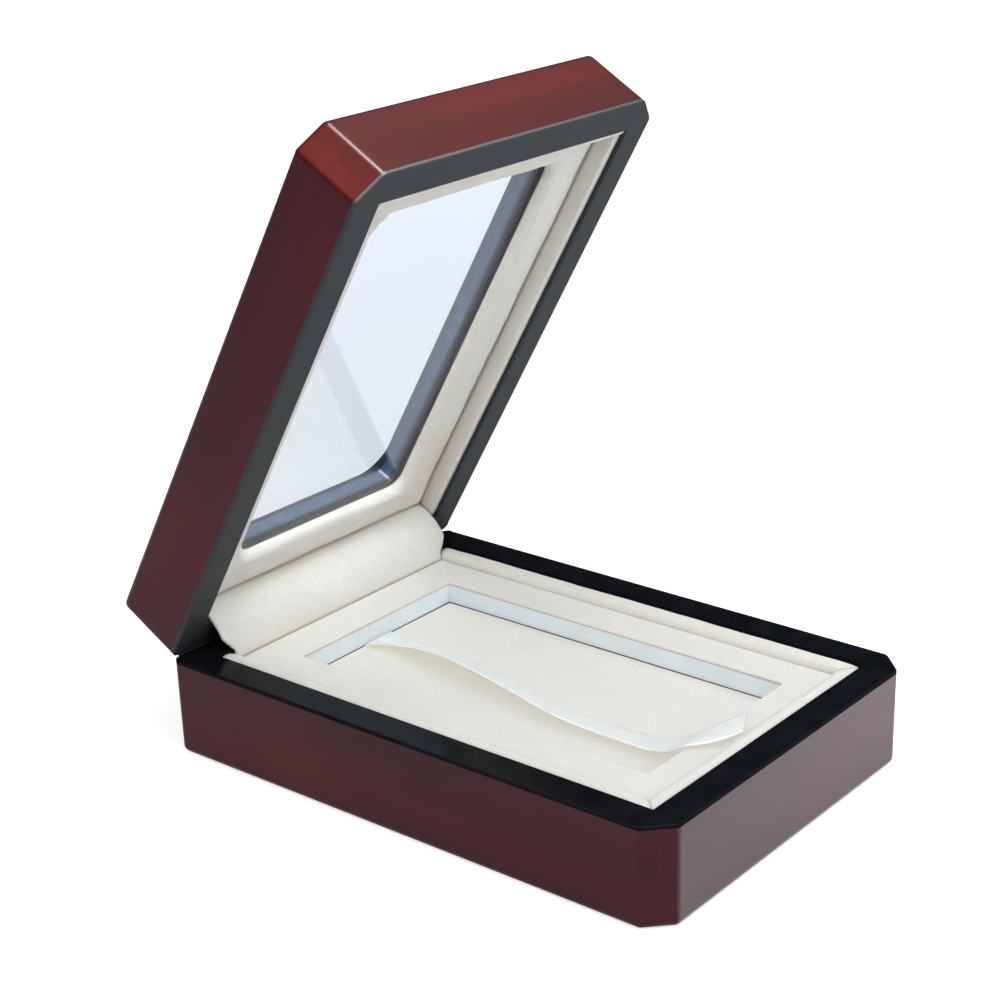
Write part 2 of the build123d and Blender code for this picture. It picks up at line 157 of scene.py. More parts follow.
class FinishColours(PropertyGroup):
    wood_dark: colour_setting("Dark wood", "Darkest figure of the lacquered wood", 46, 12, 22)
    wood_warm: colour_setting("Warm wood", "Light figure of the lacquered wood", 70, 20, 29)
    wood_amber: colour_setting("Amber wood", "Orange glow in the lacquer", 112, 38, 20)
    # Partly painted light: the lid's faces that look forward get this warmer colour
    wood_front: colour_setting("Front wood", "Warmer wood of the lid's front and its bevels", 112, 32, 20)
    polish_sides: share_setting("Side polish", "Clear coat on the sides", 0.14)
    polish_front: share_setting("Front polish", "Clear coat on the front", 1.0)
    # Partly painted shade: the black inside the lid's walls shows as the dark line beside the rim
    black_paint: colour_setting("Black paint", "Painted edges inside the lid", 14, 21, 30)
    base_rim: colour_setting("Base rim", "Rim round the base", 8, 10, 14)
    # The liner's blue-grey is a painted reflection on the window's black edge
    liner: colour_setting("Liner", "Edge of the window", 76, 97, 128)
    velvet: colour_setting("Velvet", "Pads, linings and the insert", 217, 213, 206)
    recess_velvet: colour_setting("Recess velvet", "Board on the recess floor", 219, 215, 208)
    covered_board: colour_setting("Covered board", "Walls of the recess", 222, 231, 235)
    satin: colour_setting("Satin", "Pull ribbon", 222, 227, 226)
    brass: colour_setting("Brass", "Hinges, pins and screws", 214, 178, 96)
    felt: colour_setting("Felt", "Underside", 26, 26, 30)
    fibreboard: colour_setting("Fibreboard", "Bottom panel and spacer", 150, 112, 74)


class StudioSettings(PropertyGroup):
    floor: colour_setting("Floor", "Pale studio floor", 236, 236, 236)
    top: power_setting("Top softbox", "Power of the softbox overhead", 0.6)
    glint: power_setting("Glint", "Power of the small lamp that only gloss shows", 15.0)
    front: power_setting("Front softbox", "Power of the wide softbox before the case", 1.45)
    left: power_setting("Left softbox", "Power of the wide softbox at the left", 1.8)
    card: power_setting("Card light", "Power of the small lamp over the floor at the front right", 0.3)
    card_tint: tint_setting("Card tint", "Colour of the card light", 0.74, 0.86, 1.0)
    gloss_tint: tint_setting("Gloss tint", "Colour of the surround as gloss shows it", 0.76, 0.87, 1.0)
    fill: share_setting("Fill", "Strength of the surround", 0.4)
    skylight: share_setting("Mirrored overhead", "Surround overhead as gloss shows it", 0.45)
    horizon: share_setting("Mirrored horizon", "Surround at eye level as gloss shows it", 0.06)
    glow: share_setting("Floor glow", "Even white that the floor shows beside the case", 0.52)
    far_glow: share_setting("Backdrop glow", "White of the floor far from the case", 0.95)
    mirrored: share_setting("Mirrored glow", "Share of the glow that gloss shows", 0.12)
    lens: FloatProperty(name="Lens", description="Focal length of the camera", unit="CAMERA", min=10,
                        default=78.065)


def in_millimetres(sizes):
    """The lengths of a property group, by name."""
    return SimpleNamespace(**{name: getattr(sizes, name) / MM for name in type(sizes).__annotations__})


class Wire:
    """A shader value; arithmetic on it adds Math nodes to the finish it belongs to."""

    def __init__(self, finish, socket):
        self.finish = finish
        self.socket = socket

    def calculated(self, operation, *operands):
        return self.finish.node("ShaderNodeMath", {"operation": operation}, dict(enumerate(operands)))

    def __add__(self, other):
        return self.calculated("ADD", self, other)

    def __radd__(self, other):
        return self.calculated("ADD", other, self)

    def __sub__(self, other):
        return self.calculated("SUBTRACT", self, other)

    def __rsub__(self, other):
        return self.calculated("SUBTRACT", other, self)

    def __mul__(self, other):
        return self.calculated("MULTIPLY", self, other)

    def __rmul__(self, other):
        return self.calculated("MULTIPLY", other, self)

    def unsigned(self):
        return self.calculated("ABSOLUTE", self)

    def larger(self, other):
        return self.calculated("MAXIMUM", self, other)


class Finish:
    """One material and the nodes that make it."""

    def __init__(self, name):
        self.material = bpy.data.materials.new(name)
        self.material.use_nodes = True
        self.tree = self.material.node_tree
        self.tree.nodes.clear()

    def node(self, kind, settings, values, output=0):
        """Adds a node: its settings first, then the numbers, colours or wires of its sockets."""
        made = self.tree.nodes.new(kind)
        for key, value in settings.items():
            setattr(made, key, value)
        for key, value in values.items():
            if isinstance(value, Wire):
                self.tree.links.new(value.socket, made.inputs[key])
            else:
                made.inputs[key].default_value = value
        return Wire(self, made.outputs[output]) if made.outputs else None

    def place(self, turn=AS_PLACED, scale=(1, 1, 1)):
        """Object coordinates, turned and scaled."""
        local = self.node("ShaderNodeTexCoord", {}, {}, "Object")
        return self.node("ShaderNodeMapping", {"vector_type": "POINT"},
                         {"Vector": local, "Rotation": [math.radians(a) for a in turn], "Scale": scale})

    def axes(self, vector):
        """The three parts of a vector."""
        parts = self.node("ShaderNodeSeparateXYZ", {}, {"Vector": vector}).socket.node.outputs
        return [Wire(self, parts[axis]) for axis in "XYZ"]

    def closed_axes(self):
        """Object coordinates of a lid piece in metres, as they are with the lid shut."""
        parts = self.axes(self.place(SHUT_TURN))
        shifts = turned((0, 0, 0), LID_SWING) * MM
        return [part + shift for part, shift in zip(parts, shifts.tolist())]

    def facing(self, turn):
        """The three parts of the surface's outward direction, turned."""
        outward = self.node("ShaderNodeTexCoord", {}, {}, "Normal")
        return self.axes(self.node("ShaderNodeMapping", {"vector_type": "VECTOR"}, {
            "Vector": outward, "Rotation": [math.radians(a) for a in turn]}))

    def ray(self, kind):
        """1 for light rays of this kind, 0 for the others."""
        return self.node("ShaderNodeLightPath", {}, {}, f"Is {kind} Ray")

    def noise(self, place, scale, detail, roughness, distortion=0.0):
        return self.node("ShaderNodeTexNoise", {}, {"Vector": place, "Scale": scale, "Detail": detail,
                                                    "Roughness": roughness, "Distortion": distortion})

    def spread(self, value, low, high, new_low=0.0, new_high=1.0):
        """A value's stretch from low to high, carried to a new stretch and held at its ends."""
        return self.node("ShaderNodeMapRange", {"clamp": True},
                         {0: value, 1: low, 2: high, 3: new_low, 4: new_high})

    def mixed(self, factor, first, second):
        """The first colour where the factor is 0, the second where it is 1."""
        return self.node("ShaderNodeMix", {"data_type": "RGBA"}, {0: factor, 6: first, 7: second}, 2)

    def bump(self, height, distance, strength):
        return self.node("ShaderNodeBump", {},
                         {"Height": height, "Distance": distance, "Strength": strength})

    def surface(self, values):
        return self.node("ShaderNodeBsdfPrincipled", {}, values)

    def see_through(self, factor, shader, colour):
        """The shader, and clear with this colour where the factor is 1."""
        clear = self.node("ShaderNodeBsdfTransparent", {}, {"Color": colour})
        return self.node("ShaderNodeMixShader", {}, {0: factor, 1: shader, 2: clear})

    def finished(self, shader):
        self.node("ShaderNodeOutputMaterial", {}, {"Surface": shader})
        return self.material


def shaded(colour, share, lift=0.0):
    """An opaque colour times a share, with a little light added, at most white."""
    return (*(min(1.0, part * share + lift) for part in tuple(colour)[:3]), 1.0)


GRAIN_STEP = 0.37        # metres between the places in the figure from which two members are cut
PAINT_FADE = 0.00003     # metres over which a painted edge fades
LINER_DARK = 0.0379      # height on the shut lid, in metres, below which the window's edge is painted dark as the bezel's shadow
LINER_CLEAR = 0.0391     # height from which the painted shadow is gone and it has its own colour
RIB_PITCH = 0.00035      # metres from one rib of the satin to the next
SATIN_CLEAR = 0.9        # share of shadow and diffuse rays that go through the satin
COOL_GLOSS = (0.8, 0.9, 1.0, 1.0)
WHITE, BLACK = (1, 1, 1, 1), (0, 0, 0, 1)


def wood_finish(name, colours, seed, opening, paint):
    """Piano-lacquered rosewood: soft figure and faint fine grain along the member, glossiest at the front.

    On the lid, opening is the half width and half length, in millimetres, of the hole in it, and paint
    the colour of the wood inside it. On the base both are None.
    """
    finish = Finish(name)
    turn = SHUT_TURN if opening else AS_PLACED
    along_x = name.endswith(("front", "back"))
    straight = finish.place(turn)
    start = finish.node("ShaderNodeVectorMath", {"operation": "ADD"},
                        {0: straight, 1: [GRAIN_STEP * seed] * 3})
    long_grain, fine_grain = (
        finish.node("ShaderNodeMapping", {},
                    {"Vector": start, "Scale": (1, pitch, pitch) if along_x else (pitch, 1, pitch)})
        for pitch in (9, 30))
    figure = finish.noise(long_grain, 5.0, 1.0, 0.4, 0.3)
    bands = finish.noise(long_grain, 17.0, 2.0, 0.45, 0.2)
    streaks = finish.noise(fine_grain, 42.0, 2.0, 0.5)
    glow = finish.noise(straight, 14.0, 1.0, 0.4)
    tone = finish.spread(figure * 0.65 + bands * 0.2 + streaks * 0.15, 0.25, 0.75)
    colour = finish.mixed(tone, tuple(colours.wood_dark), tuple(colours.wood_warm))
    amber = finish.spread(glow, 0.5, 0.72) * tone * 0.3
    colour = finish.mixed(amber, colour, tuple(colours.wood_amber))
    forward = 0 - finish.facing(turn)[1]
    if opening:
        # On the lid the faces turned forward are painted warmer in patches: partly the bevels' end grain,
        # partly painted light where light falls on the front
        patches = finish.spread(figure * 0.6 + glow * 0.4, 0.3, 0.6, 0.35, 1.0)
        grain_and_light_warmth = finish.spread(forward, 0.3, 0.65) * patches
        colour = finish.mixed(grain_and_light_warmth, colour, tuple(colours.wood_front))
        x, y, _ = finish.closed_axes()
        outside = (x.unsigned() - opening[0] * MM).larger(y.unsigned() - opening[1] * MM)
        colour = finish.mixed(finish.spread(outside, 0.0, PAINT_FADE, 1.0, 0.0), colour, paint.tolist())
    haze = finish.noise(straight, 600.0, 2.0, 0.5)
    return finish.finished(finish.surface({
        "Base Color": colour,
        "Roughness": finish.spread(haze, 0.3, 0.7, 0.3, 0.34),
        "Specular IOR Level": 0.12,
        "Coat Weight": finish.spread(forward, 0.8, 0.97, colours.polish_sides, colours.polish_front),
        "Coat Roughness": 0.03,
        "Coat IOR": 1.52,
        "Normal": finish.bump(streaks, 0.00001, 0.08),
    }))


def base_rim_finish(colours):
    """Black lacquer with polishing haze and a few faint lines, polished on its level faces only."""
    finish = Finish("base_rim_lacquer")
    haze = finish.noise(finish.place(), 160.0, 4.0, 0.6)
    lines = finish.noise(finish.place((12, 20, 35), (4, 60, 60)), 60.0, 2.0, 0.5)
    upright = finish.facing(AS_PLACED)[2]
    flat = finish.spread(upright * upright, 0.9, 0.99)
    polished = finish.spread(haze * 0.6 + lines * 0.4, 0.35, 0.65, 0.18, 0.26)
    cloudy = finish.spread(haze, 0.35, 0.7)
    return finish.finished(finish.surface({
        "Base Color": finish.mixed(cloudy, tuple(colours.base_rim), shaded(colours.base_rim, 1.5, 0.002)),
        "Roughness": flat * polished + (1 - flat) * 0.7,
        "Specular IOR Level": 0.05,
        "Specular Tint": COOL_GLOSS,
        "Coat Weight": flat * 0.05,
        "Coat Roughness": 0.05,
        "Normal": finish.bump(lines, 0.00001, 0.1),
    }))


def liner_finish(colours):
    """Black lacquer of the window's edge, painted blue-grey for the reflection it shows, and with painted
    shadow where it goes under the bezel.
    """
    finish = Finish("liner_lacquer")
    haze = finish.noise(finish.place(), 160.0, 4.0, 0.6)
    # Painted shadow: the edge turns near black below the bezel's edge
    bezel_shadow = finish.spread(finish.closed_axes()[2], LINER_DARK, LINER_CLEAR, 1.0, 0.0)
    face = finish.mixed(finish.spread(haze, 0.35, 0.7), tuple(colours.liner), shaded(colours.liner, 1.15))
    return finish.finished(finish.surface({
        "Base Color": finish.mixed(bezel_shadow, face, srgb(14, 15, 18)),
        "Roughness": finish.spread(haze, 0.35, 0.65, 0.2, 0.3),
        "Specular IOR Level": 0.2,
        "Specular Tint": COOL_GLOSS,
        "Coat Weight": finish.spread(bezel_shadow, 0.0, 1.0, 0.3, 0.05),
        "Coat Roughness": 0.05,
    }))


def velvet_finish(name, colour):
    """Short-pile velvet: fibre speckle, brushed patches and a soft sheen, with brown shade painted along its
    creases and seams.
    """
    finish = Finish(name)
    place = finish.place()
    fibre = finish.noise(place, 2600.0, 3.0, 0.7)
    tuft = finish.noise(place, 900.0, 3.0, 0.6)
    patch = finish.noise(place, 95.0, 3.0, 0.6, 0.6)
    light = tuple(colour)
    shade = (light[0] * 0.88, light[1] * 0.88, light[2] * 0.86, 1.0)
    tone = finish.spread(fibre * 0.4 + tuft * 0.35 + patch * 0.25, 0.36, 0.62)
    # Painted shade: each piece's creases and seams are darkened towards brown, where shade falls
    crease = finish.node("ShaderNodeAttribute", {"attribute_name": "crease"}, {}, "Fac")
    wear_and_shade = finish.spread(crease + patch * 0.5 - 0.25, 0.5, 1.1)
    return finish.finished(finish.surface({
        # srgb(128, 116, 98) is the brown of the painted crease shade
        "Base Color": finish.mixed(wear_and_shade * 0.5, finish.mixed(tone, shade, light), srgb(128, 116, 98)),
        "Roughness": finish.spread(patch, 0.3, 0.7, 0.82, 0.95),
        "Specular IOR Level": 0.2,
        "Sheen Weight": 0.25,
        "Sheen Roughness": 0.45,
        "Sheen Tint": (1.0, 0.98, 0.95, 1.0),
        "Normal": finish.bump(fibre * 0.5 + tuft * 0.5, 0.00012, 0.55),
    }))


def board_finish(colours, floor):
    """Pale covered board: smooth paper with a faint laid line, and painted shade in the gap at the recess
    floor.

    floor is the height of the board on the recess floor, in metres.
    """
    finish = Finish("covered_board")
    place = finish.place()
    laid = finish.noise(finish.place(AS_PLACED, (1, 1, 30)), 120.0, 2.0, 0.5)
    cloud = finish.noise(place, 130.0, 3.0, 0.5)
    tone = finish.spread(cloud * 0.6 + laid * 0.4, 0.35, 0.65)
    face = finish.mixed(tone, shaded(colours.covered_board, 0.92), tuple(colours.covered_board))
    # Painted shade: a thin dark band at the foot of the recess walls, where the gap beside the board lies in
    # shadow
    gap_shade = finish.spread(finish.axes(place)[2], floor - 0.00005, floor + 0.00005, 1.0, 0.0)
    return finish.finished(finish.surface({
        "Base Color": finish.mixed(gap_shade, face, srgb(70, 66, 62)),
        "Roughness": finish.spread(laid, 0.3, 0.7, 0.32, 0.48),
        "Normal": finish.bump(laid, 0.00003, 0.5),
    }))


def satin_finish(colours):
    """Satin that lets light through: ribs across the band and a corded selvedge, on the band's own map."""
    finish = Finish("pull_satin")
    along, across, _ = finish.axes(finish.node("ShaderNodeUVMap", {"uv_map": "band"}, {}))
    phase = along * (2 * math.pi / RIB_PITCH)
    rib = phase.calculated("SINE", phase)
    edge = finish.spread((across - 0.5).unsigned(), 0.455, 0.485)
    cloud = finish.noise(finish.place(), 260.0, 3.0, 0.6)
    tone = finish.spread(cloud * 0.8 + rib * 0.08, 0.25, 0.6)
    colour = finish.mixed(tone, shaded(colours.satin, 0.87), tuple(colours.satin))
    cloth = finish.surface({
        "Base Color": finish.mixed(edge * 0.35, colour, srgb(226, 224, 208)),
        "Roughness": finish.spread(cloud, 0.3, 0.7, 0.36, 0.46),
        "Subsurface Weight": 1.0,
        "Subsurface Radius": (1.0, 0.95, 0.85),
        "Subsurface Scale": 0.0015,
        "Sheen Weight": 0.3,
        "Sheen Roughness": 0.3,
        "Normal": finish.bump(rib * 0.4 + edge, 0.00004, 0.6),
    })
    through = (finish.ray("Shadow") + finish.ray("Diffuse")) * SATIN_CLEAR
    return finish.finished(finish.see_through(through, cloth, (0.93, 0.92, 0.86, 1.0)))


def glass_finish():
    """Clear pane that casts a light shadow, with faint dust."""
    finish = Finish("clear_glass")
    dust = finish.noise(finish.place(), 420.0, 3.0, 0.7)
    pane = finish.surface({
        "Base Color": (0.745, 0.757, 0.772, 1.0),
        "Specular Tint": (0.86, 0.94, 1.0, 1.0),
        "Roughness": finish.spread(dust, 0.55, 0.8, 0.0, 0.05),
        "IOR": 1.33,
        "Transmission Weight": 1.0,
    })
    return finish.finished(finish.see_through(finish.ray("Shadow"), pane, (0.96, 0.97, 0.97, 1.0)))


def brass_finish(colours):
    """Plated brass, drawn along the barrel, with darker handling marks."""
    finish = Finish("plated_brass")
    drawn = finish.noise(finish.place(AS_PLACED, (2, 60, 60)), 90.0, 2.0, 0.6)
    marks = finish.noise(finish.place(), 340.0, 4.0, 0.6)
    wear_and_shade = finish.spread(marks, 0.4, 0.7)
    return finish.finished(finish.surface({
        "Base Color": finish.mixed(wear_and_shade, tuple(colours.brass), shaded(colours.brass, 0.62)),
        "Metallic": 1.0,
        "Roughness": finish.spread(drawn * 0.5 + marks * 0.5, 0.3, 0.7, 0.16, 0.36),
        "Normal": finish.bump(drawn, 0.00001, 0.5),
    }))


def felt_finish(name, colour, scale, depth):
    """Pressed fibres: matted strands and small clots."""
    finish = Finish(name)
    place = finish.place()
    strands = finish.noise(place, scale, 4.0, 0.7, 1.5)
    clots = finish.noise(place, scale / 6, 3.0, 0.6)
    tone = finish.spread(strands * 0.6 + clots * 0.4, 0.35, 0.65)
    return finish.finished(finish.surface({
        "Base Color": finish.mixed(tone, tuple(colour), shaded(colour, 1.7, 0.006)),
        "Roughness": finish.spread(clots, 0.3, 0.7, 0.85, 0.97),
        "Sheen Weight": 0.2,
        "Normal": finish.bump(strands, depth, 0.7),
    }))


def dress(node, material):
    """Gives a CAD node its finish."""
    slots = frame["nodes"][node].data.materials
    slots.clear()
    slots.append(material)


# Millimetres that follow from how the velvet is cut and laid, beside the sizes that a user would change
MERGED = 0.002         # points of a mesh that lie closer are made one
LINING_FOOT = 0.1      # left free below a base lining
LINING_HELD = 0.2      # over the insert's face, up to which the filling can't move a lining
LINING_CREASE_SHADE = 0.4    # reach of the painted shade at the crease beside a mitre
RECESS_GAP = 0.4       # between the recess board and the walls of the recess
RECESS_CORNER = 0.8    # radius of the velvet's opening
FACE_CORNER = 0.5      # radius of the insert face's outer corners
FACE_WAVE = 0.05       # unevenness of the insert's face
FACE_TOP = 0.02        # depth below the face over which the unevenness fades
BOARD_EDGE = 0.2       # rounding of the recess board's edge
BOARD_CORNER = 0.6     # radius of its corners
LINER_WALL = 1.0       # thickness of the window's liner
ROLL_SET_BACK = 0.6    # of the bezel's roll from the liner's face
WINDOW_CORNER = 4.0    # radius of the bezel's opening
BEZEL_CORNER = 0.8     # radius of its outer corners
BEZEL_SEAT = 0.05      # left free behind the bezel
BEZEL_HELD = 0.5       # from its back, up to which the filling can't move it
BEZEL_WAVE = 0.14      # unevenness of its face
LID_LINING_WAVE = 0.08     # unevenness of a thin lining
LID_LINING_CREASE_SHADE = 0.5    # reach of its painted crease shade over the bezel
COVER_SLOT = 0.6       # from the insert's edge to where the hinge cover goes down
COVER_FOOT = 0.2       # left free below the hinge cover
COVER_TIP = 0.3        # left free between its upper end and the bezel's back
COVER_WAVE = 0.22      # height of its ripples
COVER_CREASE_SHADE = 0.5     # reach of the painted shade at its two bends
BEAD_GAP = 0.2         # left free at a bead's ends


def outline(half_x, half_y, radius, centre=(0.0, 0.0), side_steps=60):
    """Rounded rectangle: quarter arcs about four centres, joined by evenly divided straight runs."""
    sign = np.array([(1, 1), (-1, 1), (-1, -1), (1, -1)], float)
    hub = sign * (half_x - radius, half_y - radius)
    start = np.arange(4)[:, None] * (math.pi / 2)
    angle = start + np.linspace(0, math.pi / 2, 9)[None, :]
    arcs = hub[:, None, :] + radius * np.stack([np.cos(angle), np.sin(angle)], axis=-1)
    share = (np.arange(1, side_steps) / side_steps)[None, :, None]
    runs = arcs[:, -1:, :] * (1 - share) + np.roll(arcs, -1, axis=0)[:, :1, :] * share
    return np.concatenate([arcs, runs], axis=1).reshape(-1, 2) + np.asarray(centre)


def ring(inner, outer, share, shift, height):
    """Closed band between two matched outlines: share runs from inner to outer, shift adds millimetres."""
    step = outer - inner
    unit = step / np.linalg.norm(step, axis=-1, keepdims=True)
    plan = (inner[:, None, :] + step[:, None, :] * share[None, :, None]
            + unit[:, None, :] * shift[None, :, None])
    level = np.broadcast_to(height, plan.shape[:2])[..., None]
    return np.concatenate([plan, level], axis=-1)


def softly(values, seed):
    """Smooth uneven swell from minus 1 to 1: three sines of unlike pitch along the values."""
    phases = np.array([0.7, 2.1, 4.0]) * (seed + 1)
    pitches = np.array([0.11, 0.27, 0.59])
    waves = np.sin(values[..., None] * pitches + phases)
    return (waves * np.array([0.5, 0.3, 0.2])).sum(axis=-1)


def surface_piece(name, points, material, body, close_u=False, close_v=False, caps=False, band=None,
                  crease=None):
    """Mesh of a grid of millimetre points: quads between neighbours, doubles merged, faces outward.

    material is the name of its finish, and body the one that it rides on. close_u and close_v join the
    last row or column to the first, and caps close the first and last row. band is a map of two numbers
    at each point, and the crease values how much painted shade of a seam each point shows.
    """
    rows, columns = points.shape[:2]
    index = np.arange(rows * columns).reshape(rows, columns)
    if close_u:
        index = np.concatenate([index, index[:1]], axis=0)
    if close_v:
        index = np.concatenate([index, index[:, :1]], axis=1)
    quads = np.stack([index[:-1, :-1], index[1:, :-1], index[1:, 1:], index[:-1, 1:]], axis=-1)
    faces = quads.reshape(-1, 4).tolist()
    if caps:
        faces += [index[0, :columns].tolist(), index[-1, :columns].tolist()]
    mesh = bpy.data.meshes.new(name)
    mesh.from_pydata((points.reshape(-1, 3) * MM).tolist(), [], faces)
    if band is not None:
        layer = mesh.uv_layers.new(name="band")
        corners = np.empty(len(mesh.loops), dtype=np.int32)
        mesh.loops.foreach_get("vertex_index", corners)
        layer.data.foreach_set("uv", band.reshape(-1, 2)[corners].astype(np.float32).ravel())
    # The crease values become a point attribute by which the velvet finishes paint shade
    if crease is not None:
        depth = mesh.attributes.new("crease", "FLOAT", "POINT")
        wear_and_shade = np.broadcast_to(crease, (rows, columns)).astype(np.float32)
        depth.data.foreach_set("value", wear_and_shade.ravel())
    work = bmesh.new()
    work.from_mesh(mesh)
    bmesh.ops.remove_doubles(work, verts=work.verts, dist=MERGED * MM)
    bmesh.ops.recalc_face_normals(work, faces=work.faces)
    work.to_mesh(mesh)
    work.free()
    mesh.polygons.foreach_set("use_smooth", np.ones(len(mesh.polygons), dtype=bool))
    mesh.materials.append(bpy.data.materials[material])
    piece = bpy.data.objects.new(name, mesh)
    bpy.context.scene.collection.objects.link(piece)
    if body:
        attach(piece, body)
    return piece


def velvet_pad(node):
    """Hides a CAD node, which a padded velvet piece stands in for."""
    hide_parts(node)


# The copy that is filled is this many times as large, since a cloth of a few millimetres is too stiff
SIMULATION_SCALE = 20
SIMULATION_FRAMES = 20
AIR_PRESSURE = 4.0


def swollen(piece, held, reach):
    """Fills a pad with air: a cloth simulation on an enlarged copy of it.

    held says which of an array of millimetre points stay. The others move as in the simulation, but at
    most reach millimetres.
    """
    scene = bpy.context.scene
    start = np.empty(len(piece.data.vertices) * 3)
    piece.data.vertices.foreach_get("co", start)
    mesh = piece.data.copy()
    mesh.vertices.foreach_set("co", start * SIMULATION_SCALE)
    copy = bpy.data.objects.new(f"{piece.name}_filling", mesh)
    scene.collection.objects.link(copy)
    points = start.reshape(-1, 3)
    group = copy.vertex_groups.new(name="held")
    group.add(np.flatnonzero(held(points / MM)).tolist(), 1.0, "REPLACE")
    cloth = copy.modifiers.new("cloth", "CLOTH")
    cloth.settings.vertex_group_mass = "held"
    cloth.settings.use_pressure = True
    cloth.settings.uniform_pressure_force = AIR_PRESSURE
    cloth.settings.effector_weights.gravity = 0.0
    cloth.point_cache.frame_start, cloth.point_cache.frame_end = 1, SIMULATION_FRAMES
    for step in range(1, SIMULATION_FRAMES + 1):
        scene.frame_set(step)
    filled = copy.evaluated_get(bpy.context.evaluated_depsgraph_get()).data
    moved = np.empty(len(filled.vertices) * 3)
    filled.vertices.foreach_get("co", moved)
    shift = moved.reshape(-1, 3) / SIMULATION_SCALE - points
    length = np.linalg.norm(shift, axis=1, keepdims=True)
    shift = shift * np.minimum(1.0, reach * MM / np.maximum(length, 1e-9))
    piece.data.vertices.foreach_set("co", (points + shift).ravel())
    piece.data.update()
    scene.frame_set(1)
    bpy.data.objects.remove(copy)
    bpy.data.meshes.remove(mesh)


def lining_run(side, low, high, across):
    """Places along a wall for each point of a section, from end to end, and their distance to a seam.

    The front lining is mitred at both ends, and the side linings at the front end.
    """
    if side == "front":
        first, last = low[0] + across, high[0] - across
    else:
        first, last = low[1] + across, np.full_like(across, high[1])
    share = np.linspace(0, 1, 121)[:, None]
    run = first[None, :] * (1 - share) + last[None, :] * share
    return run, np.minimum(run - first, last - run) if side == "front" else run - first


def lining_points(side, low, high, run, across, height):
    """Points of a lining from their places along the wall, distance inward from its face, and height."""
    wall = {"front": low[1], "left": low[0], "right": high[0]}[side]
    sideways = np.broadcast_to(wall + (-across if side == "right" else across), run.shape)
    return np.stack((run, sideways, height) if side == "front" else (sideways, run, height), axis=-1)


def lining_profile(depth, low, top, roll):
    """Closed section of a lining: flat back and foot, and a superellipse roll for its top."""
    power = 0.72
    turn = np.linspace(0, math.pi, 25)
    reach = np.sign(np.cos(turn)) * np.abs(np.cos(turn)) ** power
    rise = np.abs(np.sin(turn)) ** power
    across = depth / 2 - reach * depth / 2
    level = top - roll + rise * roll
    inner = np.stack([np.full(8, depth), np.linspace(top - roll, low, 9)[1:]], axis=-1)
    outer = np.stack([np.zeros(8), np.linspace(low, top - roll, 9)[:-1]], axis=-1)
    return np.concatenate([np.stack([across, level], axis=-1), inner, outer], axis=0)


class COINCASE_OT_base_linings(Operator):
    """Rolled velvet linings of the base, mitred at the front corners"""
    bl_idname = "coincase.base_linings"
    bl_label = "Base linings"

    def execute(self, context):
        pads = in_millimetres(context.scene.coincase_pads)
        roll, swell = pads.lining_roll, pads.lining_swell
        seat = box_of("insert_cover")[1][2] + LINING_HELD
        for seed, side in enumerate(("front", "left", "right")):
            low, high = box_of(f"base_lining_{side}")
            depth = (high - low)[1 if side == "front" else 0]
            across, level = lining_profile(depth, low[2] + LINING_FOOT, high[2], roll).T
            run, to_seam = lining_run(side, low, high, across)
            above = np.clip((level - (high[2] - roll)) / roll, 0, 1)
            dip = pads.seam_depth * np.exp(-to_seam / pads.seam_reach) * above
            height = level[None, :] - dip + swell * softly(run, seed) * above - swell * above
            points = lining_points(side, low, high, run, across, height)
            # Painted shade: the velvet darkens near each mitre seam
            piece = surface_piece(f"base_lining_{side}_pad", points, "lining_velvet", "base",
                                  close_v=True, caps=True, crease=np.exp(-to_seam / LINING_CREASE_SHADE))
            swollen(piece, lambda places: places[:, 2] < seat, pads.filling)
            velvet_pad(f"base_lining_{side}")
        return {"FINISHED"}


